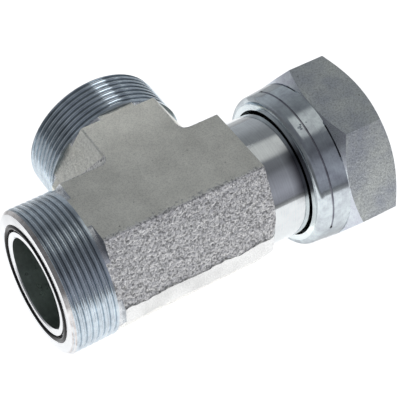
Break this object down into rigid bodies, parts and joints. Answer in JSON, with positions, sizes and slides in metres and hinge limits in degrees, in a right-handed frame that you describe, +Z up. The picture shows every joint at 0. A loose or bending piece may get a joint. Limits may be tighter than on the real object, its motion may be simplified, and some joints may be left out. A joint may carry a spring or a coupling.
{
  "type": "o-ring face seal tee",
  "caption": "Forged steel swivel nut run tee with a male o-ring face seal thread on the run and on the branch, and a crimped swivel nut on the other run end.",
  "frame": {"origin": "where the axes of the three ports cross, at the middle of the forging", "axes": "+X along the run towards the swivel nut, +Y along the branch, +Z up, square to the plane of the tee"},
  "size_m": [0.1246, 0.0834, 0.0594],
  "materials": {
    "forged_steel": "clear zinc plated forging, rough as forged on its flats and bright where it is turned",
    "nut_steel": "clear zinc plated, fine grained hexagon and bright turned skirt",
    "ring_rubber": "black nitrile, lightly greased"
  },
  "bodies": {
    "tee": {"tee_body": "forged_steel", "run_o_ring": "ring_rubber", "branch_o_ring": "ring_rubber"},
    "nut": {"swivel_nut": "nut_steel"}
  },
  "joints": [
    {"name": "nut_spin", "type": "hinge", "parent": "tee", "child": "nut", "pos_m": [0.0555, 0, 0], "axis": [1, 0, 0], "continuous": true}
  ]
}
